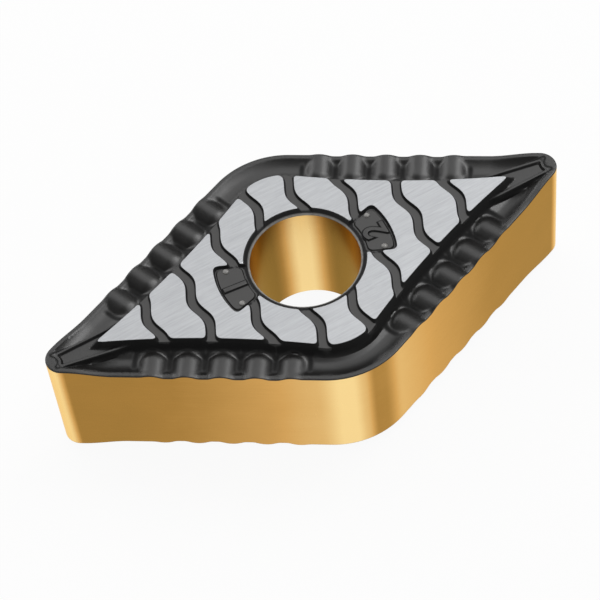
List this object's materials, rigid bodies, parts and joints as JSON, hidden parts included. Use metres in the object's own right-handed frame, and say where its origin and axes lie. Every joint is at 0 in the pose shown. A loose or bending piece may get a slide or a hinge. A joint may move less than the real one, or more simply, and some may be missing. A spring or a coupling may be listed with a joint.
{
  "type": "turning insert",
  "caption": "Double-sided rhombic turning insert with a central bore, chip grooves with finger ridges along the cutting edges and channelled seat faces.",
  "frame": {"origin": "centre of the bore at half the insert's thickness", "axes": "+X along the long diagonal to one cutting nose, +Y along the short diagonal to one blunt corner, +Z along the bore out of one seat face"},
  "size_m": [0.0256, 0.0132, 0.0066],
  "materials": {
    "flank_coating": "gold nitride coating, satin",
    "rake_coating": "black oxide ceramic coating, semi-gloss",
    "ground_seat": "fine ground, silver"
  },
  "bodies": {
    "root": {"insert": "flank_coating"}
  },
  "joints": []
}
